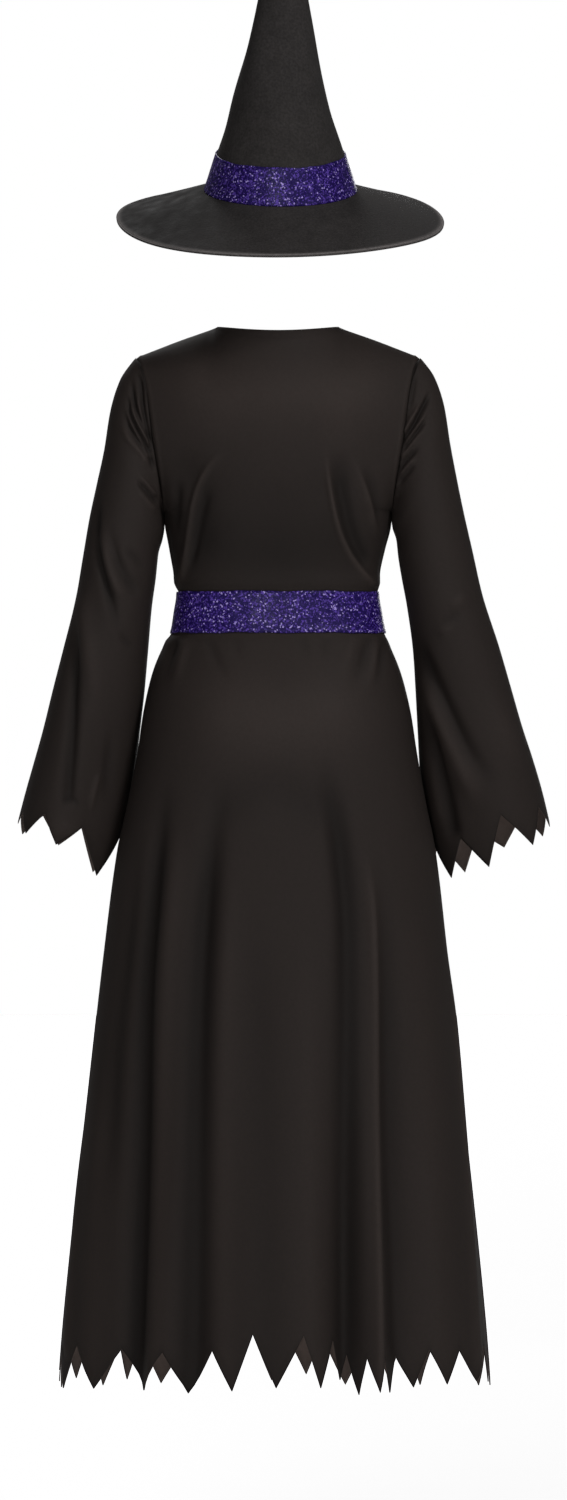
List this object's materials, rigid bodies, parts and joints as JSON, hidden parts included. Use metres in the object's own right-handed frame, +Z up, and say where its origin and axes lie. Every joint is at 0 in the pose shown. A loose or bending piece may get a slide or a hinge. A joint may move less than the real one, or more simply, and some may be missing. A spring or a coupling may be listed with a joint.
{
  "type": "witch costume, dress with belt and hat",
  "caption": "Witch costume as worn: long dress with bell sleeves and a jagged hem and cuffs, wide glitter belt, and a tall pointed hat with a wide brim and a band.",
  "frame": {"origin": "the middle of the neck opening, level with the back of the neckline, where the wearer's neck and shoulders carry the dress", "axes": "+Z up along the body, -Y out of the front of the costume, +X to the wearer's left"},
  "size_m": [0.667, 0.4303, 1.8818],
  "materials": {
    "dress_cloth": "smooth black knit with a low soft sheen",
    "hat_felt": "matte black felt, a little mottled",
    "glitter_band": "deep violet cloth covered with fine glitter"
  },
  "bodies": {
    "root": {"dress_back": "dress_cloth", "dress_front": "dress_cloth", "sleeve_left": "dress_cloth", "sleeve_right": "dress_cloth", "belt": "glitter_band", "hat_crown": "hat_felt", "hat_brim": "hat_felt", "hat_band": "glitter_band"}
  },
  "joints": []
}
